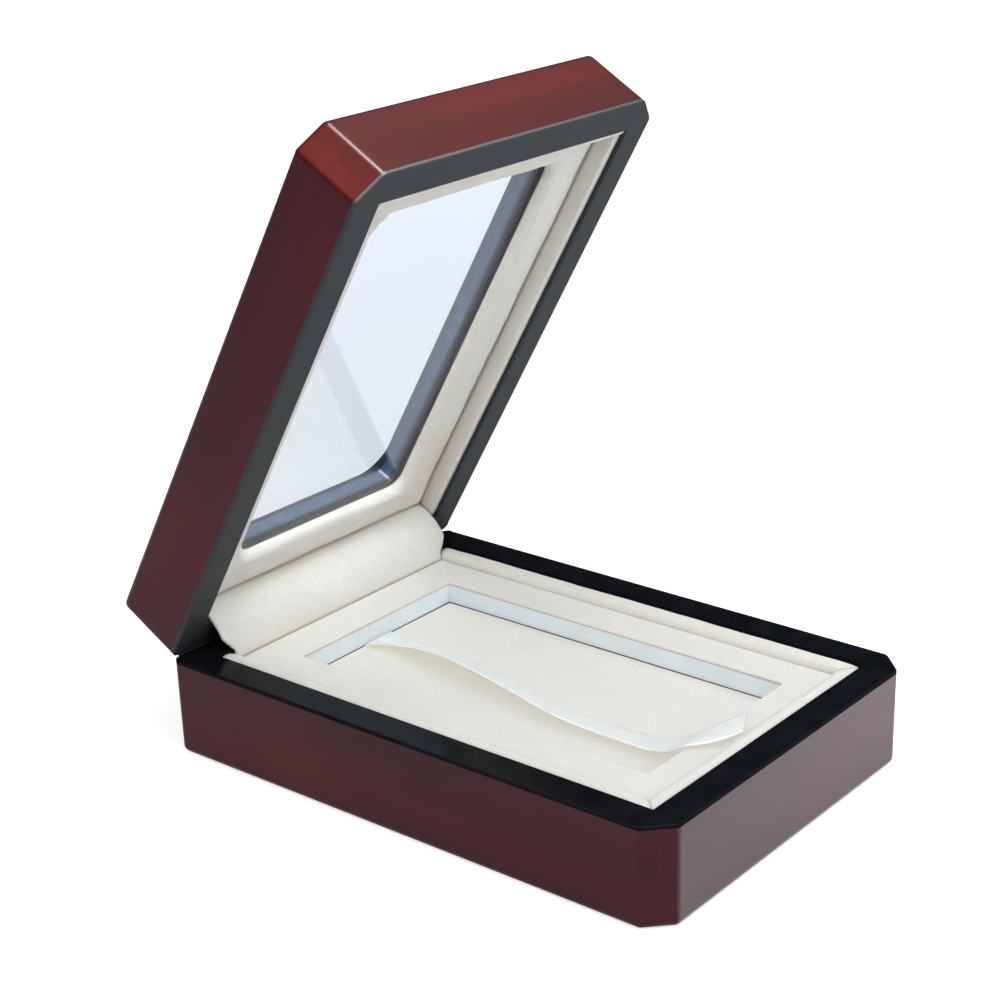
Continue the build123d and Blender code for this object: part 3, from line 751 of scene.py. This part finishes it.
class COINCASE_OT_insert_velvet(Operator):
    """Velvet face of the insert, rounded over the recess edge, and the board in the recess"""
    bl_idname = "coincase.insert_velvet"
    bl_label = "Insert velvet"

    def execute(self, context):
        pads = in_millimetres(context.scene.coincase_pads)
        low, high = box_of("insert_cover")
        board_low, board_high = box_of("recess_board")
        edge = pads.insert_edge
        inner = outline((board_high - board_low)[0] / 2 + RECESS_GAP, -board_low[1] + RECESS_GAP,
                        RECESS_CORNER)
        outer = outline((high - low)[0] / 2, (high - low)[1] / 2, FACE_CORNER, (low + high)[:2] / 2)
        turn = np.linspace(0, math.pi / 2, 7)
        roll, fall = edge * (1 - np.cos(turn)), edge * (1 - np.sin(turn))
        flat = np.linspace(0, 1, 14)[1:-1]
        share = np.concatenate([[0.0], np.zeros_like(turn), flat, np.ones_like(turn), [1.0]])
        shift = np.concatenate([[0.0], roll, edge * (1 - 2 * flat), -roll[::-1], [0.0]])
        height = np.concatenate([[low[2]], high[2] - fall, np.full_like(flat, high[2]),
                                 high[2] - fall[::-1], [low[2]]])
        points = ring(inner, outer, share, shift, height)
        crest = FACE_WAVE * np.clip((height - high[2] + FACE_TOP) / FACE_TOP, 0, 1)
        points[..., 2] += crest * softly(points[..., 0] + 0.7 * points[..., 1], 5) - crest
        # Painted shade: darker down the recess edge and at the face's outer foot
        wear_and_shade = 1 - np.sin(turn)
        crease = np.concatenate([[1.0], 0.7 * wear_and_shade, np.zeros_like(flat), wear_and_shade[::-1], [1.0]])
        piece = surface_piece("insert_velvet_face", points, "insert_velvet", "base",
                              close_u=True, close_v=True, crease=crease[None, :])
        velvet_pad("insert_cover")

        board_high = board_high + (0.0, pads.board_reach, 0.0)
        size = board_high - board_low
        centre = (board_low + board_high)[:2] / 2
        reach = min(size[0], size[1]) / 2
        share = np.linspace(0, 1, 12)[:-1]
        inset = np.concatenate([reach * (1 - share) + BOARD_EDGE * share,
                                BOARD_EDGE * (1 - np.sin(turn)), [0.0, BOARD_EDGE, reach]])
        drop = np.concatenate([np.zeros_like(share), BOARD_EDGE * (1 - np.cos(turn)), [size[2]] * 3])
        hoops = np.stack([outline(size[0] / 2 - cut, size[1] / 2 - cut,
                                  min(BOARD_CORNER, max(reach - cut, 0)), centre) for cut in inset])
        level = np.broadcast_to((board_high[2] - drop)[:, None], hoops.shape[:2])
        points = np.concatenate([hoops, level[..., None]], axis=-1)
        board = surface_piece("recess_velvet_board", points, "recess_velvet", "base", close_v=True)
        velvet_pad("recess_board")
        return {"FINISHED"}


def near_end(values, end, reach, full):
    """A column: 0 where values lie reach or more before the end, 1 from full before it, eased between."""
    share = np.clip((values - (end - reach)) / (reach - full), 0, 1)
    return (share * share * (3 - 2 * share))[:, None]


class COINCASE_OT_lid_bezel(Operator):
    """Padded velvet frame round the window: a crowned pad with a deep roll at its edge"""
    bl_idname = "coincase.lid_bezel"
    bl_label = "Lid bezel"

    def execute(self, context):
        pads = in_millimetres(context.scene.coincase_pads)
        low, high = box_of("lid_bezel", closed=True)
        window_low, window_high = box_of("window_liner", closed=True)
        thick = high[2] - low[2] - 2 * BEZEL_SEAT
        half = (window_high - window_low)[:2] / 2 - LINER_WALL + ROLL_SET_BACK
        inner = outline(half[0], half[1], WINDOW_CORNER, side_steps=70)
        outer = outline((high - low)[0] / 2, (high - low)[1] / 2, BEZEL_CORNER, (low + high)[:2] / 2,
                        side_steps=70)
        at_front = near_end(-inner[:, 1], half[1], 9, 1)
        at_hinge = near_end(inner[:, 1], half[1], 14, 2)
        at_left = near_end(-inner[:, 0], half[0], 6, 1)
        at_corner = near_end(inner[:, 1], half[1], 5, 0)
        right_fall = pads.bezel_side_fall * (1 - at_left) * (1 - at_hinge)
        left_fall = pads.bezel_left_fall * at_left * (1 - at_corner)
        lip = thick - (right_fall + left_fall) * (1 - at_front)
        wall = thick - pads.bezel_wall_fall * (1 - at_hinge)
        roll, edge = pads.bezel_roll, pads.bezel_outer
        turn = np.linspace(0, math.pi / 2, 13)
        far_turn = turn[::2]
        flat = np.linspace(0, 1, 22)[1:-1]
        share = np.concatenate([np.zeros_like(turn), flat, np.ones_like(far_turn), [1.0]])
        shift = np.concatenate([roll * (1 - np.cos(turn)), roll * (1 - flat) - edge * flat,
                                -(edge * (1 - np.cos(far_turn)))[::-1], [0.0]])
        crown = pads.bezel_crown * np.sin(math.pi * flat)
        fall = wall - edge * (1 - np.sin(far_turn))[None, ::-1]
        rise = np.concatenate([lip * np.sin(turn) ** 0.9, lip + (wall - lip) * flat + crown, fall,
                               np.full_like(wall, BEZEL_SEAT)], axis=1)
        points = ring(inner, outer, share, shift, high[2] - BEZEL_SEAT - rise)
        fullness = np.clip(rise / wall, 0, 1) ** 2
        corner = np.abs(points[..., 0]) + np.abs(points[..., 1])
        points[..., 2] += BEZEL_WAVE * fullness * softly(corner * 1.7, 3)
        wave = pads.bezel_wave * at_hinge * np.sin(turn)[None, :] ** 2
        points[:, :len(turn), 1] += wave * softly(inner[:, :1] * 2.2, 6)
        # Painted shade: darker where the roll tucks under and at the pad's outer foot
        crease = np.concatenate([1 - np.clip(np.sin(turn) / 0.25, 0, 1), np.zeros_like(flat),
                                 1 - np.sin(far_turn[::-1]), [1.0]])
        piece = surface_piece("lid_bezel_pad", carried_open(points), "lid_velvet", "lid",
                              close_u=True, close_v=True, crease=crease[None, :])
        seat = high[2] - BEZEL_HELD
        swollen(piece, lambda places: turned(places, LID_SWING)[:, 2] > seat, pads.filling)
        velvet_pad("lid_bezel")
        return {"FINISHED"}


class COINCASE_OT_lid_linings(Operator):
    """Thin velvet linings on the inside of the lid walls"""
    bl_idname = "coincase.lid_linings"
    bl_label = "Lid linings"

    def execute(self, context):
        pads = in_millimetres(context.scene.coincase_pads)
        edge = pads.lid_lining_edge
        turn = np.linspace(0, math.pi / 2, 9)
        bezel_wall = box_of("lid_bezel", closed=True)[0][2] + pads.bezel_wall_fall
        for seed, side in enumerate(("front", "left", "right")):
            low, high = box_of(f"lid_lining_{side}", closed=True)
            depth = (high - low)[1 if side == "front" else 0]
            top = low[2] + (0 if side == "front" else pads.lid_lining_set_back)
            foot = high[2] - BEZEL_SEAT
            rim = np.stack([depth - edge * (1 - np.cos(turn)), top + edge * (1 - np.sin(turn))], axis=-1)
            face = np.stack([np.full(10, depth), np.linspace(foot, top + edge, 11)[:-1]], axis=-1)
            back = np.stack([np.zeros(10), np.linspace(top, foot, 10)], axis=-1)
            across, level = np.concatenate([face, rim, back], axis=0).T
            run, _ = lining_run(side, low, high, across)
            height = np.broadcast_to(level, run.shape)
            bulge = LID_LINING_WAVE * np.clip(across / depth, 0, 1) ** 4
            puff = bulge * softly(run + 2.3 * height, seed + 7) - bulge
            points = lining_points(side, low, high, run, across[None, :] + puff, height)
            # Painted shade: darker where a lining meets the bezel
            crease = np.clip(1 - (bezel_wall - level) / LID_LINING_CREASE_SHADE, 0, 1)
            piece = surface_piece(f"lid_lining_{side}_pad", carried_open(points), "lid_velvet", "lid",
                                  close_v=True, caps=True, crease=crease[None, :])
            velvet_pad(f"lid_lining_{side}")
        return {"FINISHED"}


def smooth_line(knots, steps):
    """Cubic line through all knots: each span is the cubic set by its ends and by its neighbours' slopes."""
    knots = np.asarray(knots, float)
    slope = np.gradient(knots, axis=0)
    t = (np.arange(steps) / steps)[None, :, None]
    a, b = knots[:-1, None, :], knots[1:, None, :]
    da, db = slope[:-1, None, :], slope[1:, None, :]
    spans = ((2 * t ** 3 - 3 * t ** 2 + 1) * a + (t ** 3 - 2 * t ** 2 + t) * da
             + (3 * t ** 2 - 2 * t ** 3) * b + (t ** 3 - t ** 2) * db)
    return np.concatenate([spans.reshape(-1, knots.shape[1]), knots[-1:]], axis=0)


def thickened(piece, thickness):
    """Gives a sheet its thickness in millimetres, half of it on each side, as part of its mesh."""
    solid = piece.modifiers.new("thickness", "SOLIDIFY")
    solid.thickness = thickness * MM
    solid.offset = 0
    graph = bpy.context.evaluated_depsgraph_get()
    mesh = bpy.data.meshes.new_from_object(piece.evaluated_get(graph))
    old = piece.data
    piece.modifiers.clear()
    piece.data = mesh
    mesh.name = piece.name
    bpy.data.meshes.remove(old)


class COINCASE_OT_hinge_cover(Operator):
    """Velvet sheet bowed over the hinges from the insert to the bezel"""
    bl_idname = "coincase.hinge_cover"
    bl_label = "Hinge cover"

    def execute(self, context):
        pads = in_millimetres(context.scene.coincase_pads)
        low, _ = box_of("hinge_cover")
        shut_low, shut_high = box_of("hinge_cover", closed=True)
        insert_low, insert_high = box_of("insert_cover")
        bezel_low, bezel_high = box_of("lid_bezel", closed=True)
        slot = insert_high[1] + COVER_SLOT
        foot = np.array([slot, insert_high[2]])
        head = carried_open(np.array([0.0, slot, bezel_low[2]]))[1:]
        tip = carried_open(np.array([0.0, slot, bezel_high[2] - COVER_TIP]))[1:]
        span = head - foot
        out = np.array([-span[1], span[0]]) / np.linalg.norm(span)
        t = np.linspace(0, 1, 41)[:, None]
        bow = pads.cover_bulge * (np.sin(math.pi * t ** 0.93)) ** 0.85
        web = foot + span * t + out * bow
        tail = np.stack([np.full(9, slot), np.linspace(low[2] + COVER_FOOT, foot[1], 10)[:-1]], axis=-1)
        head_tail = head + (tip - head) * np.linspace(0, 1, 8)[1:, None]
        line = np.concatenate([tail, web, head_tail], axis=0)
        t_line = np.concatenate([np.zeros(len(tail)), t[:, 0], np.ones(len(head_tail))])
        half = (shut_high[0] - shut_low[0]) / 2
        narrow = (insert_high[0] - insert_low[0]) / 2
        widening = np.clip((t_line - 0.12) / 0.22, 0, 1) ** 0.8
        reach = narrow + (half - narrow) * widening
        x = reach[:, None] * np.linspace(-1, 1, 111)[None, :]
        fold = np.sin(math.pi * t_line)[:, None]
        ripple = COVER_WAVE * fold * softly(x * 1.3 + 9 * t_line[:, None], 2)
        points = np.stack([x, line[:, :1] + out[0] * ripple, line[:, 1:] + out[1] * ripple], axis=-1)
        # Painted shade: darker towards the cover's two bends
        ends = np.minimum(t_line, 1 - t_line)
        piece = surface_piece("hinge_cover_velvet", points, "cover_velvet", None,
                              crease=np.exp(-ends * np.linalg.norm(span) / COVER_CREASE_SHADE)[:, None])
        thickened(piece, pads.cover_thickness)
        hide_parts("hinge_cover")
        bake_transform(piece)
        2 * half * MM
        return {"FINISHED"}


class COINCASE_OT_parting_bead(Operator):
    """Thin black beads that close the chink along the hinge line: circles about the line"""
    bl_idname = "coincase.parting_bead"
    bl_label = "Parting bead"

    def execute(self, context):
        pads = in_millimetres(context.scene.coincase_pads)
        radius = pads.bead_radius
        left, right = box_of("base_hinge_leaf_left"), box_of("base_hinge_leaf_right")
        end = box_of("base_rim")[1][0] - pads.corner_round
        spans = {"left": (-end, left[0][0]), "middle": (left[1][0], right[0][0]), "right": (right[1][0], end)}
        angle = np.linspace(0, 2 * math.pi, 13)[:-1]
        for name, (low, high) in spans.items():
            x = np.linspace(low + BEAD_GAP, high - BEAD_GAP, 3)[:, None]
            y, z = HINGE[1] + radius * np.cos(angle), HINGE[2] + radius * np.sin(angle)
            circle = np.stack(np.broadcast_arrays(x, y, z), axis=-1)
            piece = surface_piece(f"parting_bead_{name}", circle, "black_lacquer", "base",
                                  close_v=True, caps=True)
        return {"FINISHED"}


# Near edge x, y, z and far edge x, y, z in millimetres, from the slot at the hinge end to the free end
RIBBON_EDGES = (
    (-6.6, 52.8, 16.0, 3.4, 52.8, 16.0),
    (-6.6, 52.5, 18.2, 3.3, 52.5, 18.2),
    (-6.0, 49.2, 19.3, 3.0, 47.8, 18.5),
    (-5.5, 43.9, 20.2, 2.3, 41.6, 18.6),
    (-6.2, 35.5, 21.9, 1.8, 33.5, 18.8),
    (-7.4, 26.0, 23.0, 1.9, 24.8, 19.0),
    (-9.5, 13.0, 22.9, 0.2, 11.8, 18.6),
    (-12.0, -0.7, 22.3, -2.7, 0.2, 18.3),
    (-13.6, -9.8, 21.6, -4.7, -9.6, 18.2),
    (-14.6, -18.2, 21.0, -5.5, -19.2, 18.2),
    (-14.4, -28.0, 20.4, -5.7, -28.8, 18.2),
    (-14.3, -37.4, 20.2, -5.2, -37.0, 18.4),
    (-14.5, -44.6, 20.6, -5.0, -44.4, 19.6),
    (-14.6, -50.0, 22.0, -4.6, -49.8, 22.2),
    (-14.0, -53.6, 24.2, -4.0, -53.4, 24.3),
    (-11.4, -57.6, 25.0, -1.4, -55.3, 25.4),
    (-8.0, -60.4, 25.6, 1.9, -56.9, 26.0),
    (-3.4, -62.7, 26.2, 5.6, -58.3, 26.4),
)


class COINCASE_OT_pull_ribbon(Operator):
    """Satin pull ribbon: straight lines from its near to its far edge, both smooth through their points"""
    bl_idname = "coincase.pull_ribbon"
    bl_label = "Pull ribbon"

    def execute(self, context):
        sizes = in_millimetres(context.scene.coincase_ribbon)
        rows = smooth_line(RIBBON_EDGES, 10)
        near, far = rows[:, None, :3], rows[:, None, 3:]
        share = np.linspace(0, 1, 15)
        points = near + (far - near) * share[None, :, None]
        points[..., 2] += sizes.cupping * (1 - (2 * share[None, :] - 1) ** 2)
        middle = (rows[:, :3] + rows[:, 3:]) / 2
        run = np.concatenate([[0.0], np.cumsum(np.linalg.norm(np.diff(middle, axis=0), axis=1))])
        band = np.stack(np.broadcast_arrays(run[:, None] * MM, share[None, :]), axis=-1)
        piece = surface_piece("pull_ribbon_satin", points, "pull_satin", "base", band=band)
        thickened(piece, sizes.thickness)
        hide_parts("pull_ribbon")
        return {"FINISHED"}


SIDES = ("front", "back", "left", "right")
# Millimetres beyond the linings, and beyond the window's liner, up to which the lid's wood is painted
CAVITY_MARGIN = 0.1
WINDOW_MARGIN = 4.6
# Share of the liner's blue-grey, a painted reflection, in the paint of the window's bevel
BEVEL_BLUE = 0.4


class COINCASE_OT_finishes(Operator):
    """Materials of the case, and those of the rigid CAD nodes"""
    bl_idname = "coincase.finishes"
    bl_label = "Finishes"

    def execute(self, context):
        colours = context.scene.coincase_colours
        black, blue = np.array(colours.black_paint), np.array(colours.liner)
        cavity = (box_of("lid_lining_front", closed=True)[1][0] + CAVITY_MARGIN,
                  box_of("lid_lining_right", closed=True)[1][1] + CAVITY_MARGIN)
        window = (box_of("window_liner", closed=True)[1][:2] + WINDOW_MARGIN).tolist()
        members = [(f"base_wall_{side}", None, None) for side in SIDES]
        # The black paint inside the lid's walls also stands in for the shade in the gap between linings and
        # rim
        members += [(f"lid_wall_{side}", cavity, black) for side in SIDES]
        members += [(f"lid_frame_{side}", window, black * (1 - BEVEL_BLUE) + blue * BEVEL_BLUE)
                    for side in SIDES]
        for seed, (node, opening, paint) in enumerate(members):
            dress(node, wood_finish(f"lacquered_wood_{node}", colours, seed, opening, paint))
        # The lid's band and the beads wear the black lacquer that the frame brings from the record
        dress("lid_rim", bpy.data.materials["black_lacquer"])
        dress("base_rim", base_rim_finish(colours))
        dress("window_liner", liner_finish(colours))
        for name in ("lining_velvet", "insert_velvet", "lid_velvet", "cover_velvet"):
            velvet_finish(name, colours.velvet)
        velvet_finish("recess_velvet", colours.recess_velvet)
        dress("insert_core", board_finish(colours, box_of("recess_board")[1][2] * MM))
        dress("window_glass", glass_finish())
        satin_finish(colours)
        brass = brass_finish(colours)
        for node in frame["nodes"]:
            if "hinge_leaf" in node or "hinge_pin" in node or "hinge_screws" in node:
                dress(node, brass)
        dress("base_felt", felt_finish("underside_felt", colours.felt, 1500.0, 0.0001))
        board = felt_finish("fibreboard", colours.fibreboard, 700.0, 0.00004)
        dress("base_panel", board)
        dress("glass_spacer", board)
        return {"FINISHED"}


# Name, place, aim and side in millimetres, and whether matt surfaces and gloss show it
SOFTBOXES = (
    ("top", (-10, -90, 640), (0, -30, 20), 260, True, False),
    ("glint", (-10, -90, 640), (0, -30, 20), 180, False, True),
    ("front", (-60, -560, 420), (0, 10, 40), 520, True, False),
    ("left", (-480, -60, 420), (0, 0, 20), 460, True, False),
    ("card", (130, -190, 210), (70, -125, 0), 90, True, False),
)
# The camera's angles in degrees round the case, over the floor and about its line of sight, and its place
# in millimetres, both worked out from the edges in the photograph
CAMERA_ANGLES = (-51.623, 23.859, -1.232)
CAMERA_PLACE = (-379.75, -304.84, 257.57)
# Shares of the picture's width by which it is shifted, and the sensor's width in millimetres
CAMERA_SHIFT = (-0.05, 0.10)
SENSOR_WIDTH = 36
# Nearest and farthest sight of the camera in metres
CAMERA_SIGHT = (0.01, 20)
# Half the floor's side and its height, in millimetres
FLOOR_REACH, FLOOR_HEIGHT = 3000, -0.05
# Metres from the case at which the floor's glow starts to rise, and at which it is that of the backdrop
GLOW_NEAR, GLOW_FAR = 0.14, 0.75
# Heights of a direction, 1 for straight up, between which the mirrored surround brightens
SKY_LOW, SKY_HIGH = 0.42, 0.85


def floor_shader(studio):
    """Matte pale floor that shines evenly towards the camera: it ends in white but keeps the shadow."""
    finish = Finish("pale_floor")
    camera, glossy, through = map(finish.ray, ("Camera", "Glossy", "Transmission"))
    seen = camera.larger(through).larger(glossy * studio.mirrored)
    away = finish.node("ShaderNodeVectorMath", {"operation": "LENGTH"}, {0: finish.place()}, "Value")
    white = finish.spread(away, GLOW_NEAR, GLOW_FAR, studio.glow, studio.far_glow)
    tinted = finish.mixed(glossy, WHITE, (*studio.gloss_tint, 1.0))
    return finish.finished(finish.surface({
        "Base Color": tuple(studio.floor),
        "Roughness": 0.9,
        "Specular IOR Level": 0.1,
        "Emission Color": finish.mixed(seen * white, BLACK, tinted),
        "Emission Strength": 1.0,
    }))


class Surround(Finish):
    """The world's shader."""

    def __init__(self, name):
        self.world = bpy.data.worlds.new(name)
        self.world.use_nodes = True
        self.tree = self.world.node_tree
        self.tree.nodes.clear()


def surround(studio):
    """White to the camera, even for light, and in gloss brighter overhead than at the horizon."""
    finish = Surround("studio_surround")
    camera, glossy, through = map(finish.ray, ("Camera", "Glossy", "Transmission"))
    up = finish.axes(finish.node("ShaderNodeTexCoord", {}, {}, "Generated"))[2]
    gloss = finish.spread(up, SKY_LOW, SKY_HIGH, studio.horizon, studio.skylight)
    light = finish.spread(glossy, 0.0, 1.0, studio.fill, gloss)
    sky = finish.node("ShaderNodeBackground", {}, {
        "Color": finish.mixed(glossy, WHITE, (*studio.gloss_tint, 1.0)),
        "Strength": finish.spread(camera.larger(through), 0.0, 1.0, light, 1.0)})
    finish.node("ShaderNodeOutputWorld", {}, {"Surface": sky})
    return finish.world


class COINCASE_OT_studio(Operator):
    """Pale floor, softboxes, white surround and the camera of the picture"""
    bl_idname = "coincase.studio"
    bl_label = "Studio"

    def execute(self, context):
        studio = context.scene.coincase_studio
        scene = context.scene
        floor_shader(studio)
        side = np.linspace(-FLOOR_REACH, FLOOR_REACH, 3)
        x, y = np.meshgrid(side, side, indexing="ij")
        plane = surface_piece("studio_floor", np.stack([x, y, np.full_like(x, FLOOR_HEIGHT)], axis=-1),
                              "pale_floor", None)
        if plane.data.polygons[0].normal.z < 0:
            plane.data.flip_normals()
        scene.world = surround(studio)
        for name, place, aim, size, lights, mirrored in SOFTBOXES:
            data = bpy.data.lights.new(f"{name}_softbox", "AREA")
            data.shape = "SQUARE"
            data.size = size * MM
            data.energy = getattr(studio, name)
            lamp = bpy.data.objects.new(f"{name}_softbox", data)
            lamp.location = Vector(place) * MM
            lamp.rotation_euler = (Vector(aim) - Vector(place)).to_track_quat("-Z", "Y").to_euler()
            lamp.visible_diffuse = lights
            lamp.visible_glossy = mirrored
            data.color = studio.card_tint if name == "card" else (1, 1, 1)
            scene.collection.objects.link(lamp)
        azimuth, elevation, roll = (math.radians(angle) for angle in CAMERA_ANGLES)
        back = Vector((math.sin(azimuth) * math.cos(elevation), -math.cos(azimuth) * math.cos(elevation),
                       math.sin(elevation)))
        level = Vector((math.cos(azimuth), math.sin(azimuth), 0))
        upright = level.cross(-back)
        right = level * math.cos(roll) + upright * math.sin(roll)
        up = upright * math.cos(roll) - level * math.sin(roll)
        data = bpy.data.cameras.new("camera")
        data.lens = studio.lens
        data.sensor_width = SENSOR_WIDTH
        data.shift_x, data.shift_y = CAMERA_SHIFT
        data.clip_start, data.clip_end = CAMERA_SIGHT
        camera = bpy.data.objects.new("camera", data)
        rotation = Matrix((right, up, back)).transposed()
        camera.matrix_world = Matrix.Translation(Vector(CAMERA_PLACE) * MM) @ rotation.to_4x4()
        scene.collection.objects.link(camera)
        scene.camera = camera
        scene.view_settings.view_transform = "Standard"
        return {"FINISHED"}


class COINCASE_PT_sidebar(Panel):
    """Buttons for the steps that build the coin case"""
    bl_label = "Coin case"
    bl_space_type = "VIEW_3D"
    bl_region_type = "UI"
    bl_category = "Coin case"

    def draw(self, context):
        for kind in STEPS:
            self.layout.operator(kind.bl_idname)


SETTINGS = {"coincase_pads": PadSizes, "coincase_ribbon": RibbonSizes,
            "coincase_colours": FinishColours, "coincase_studio": StudioSettings}
STEPS = (COINCASE_OT_finishes, COINCASE_OT_base_linings, COINCASE_OT_insert_velvet, COINCASE_OT_pull_ribbon,
         COINCASE_OT_lid_bezel, COINCASE_OT_lid_linings, COINCASE_OT_hinge_cover, COINCASE_OT_parting_bead,
         COINCASE_OT_studio)


def register():
    for kind in (*SETTINGS.values(), *STEPS, COINCASE_PT_sidebar):
        bpy.utils.register_class(kind)
    for name, kind in SETTINGS.items():
        setattr(bpy.types.Scene, name, PointerProperty(type=kind))


def unregister():
    for name in SETTINGS:
        delattr(bpy.types.Scene, name)
    for kind in reversed((*SETTINGS.values(), *STEPS, COINCASE_PT_sidebar)):
        bpy.utils.unregister_class(kind)


def main():
    register()
    for kind in STEPS:
        group, action = kind.bl_idname.split(".")
        if getattr(getattr(bpy.ops, group), action)() != {"FINISHED"}:
            raise RuntimeError(f"{kind.bl_label} didn't finish")


if __name__ == "__main__":
    main()
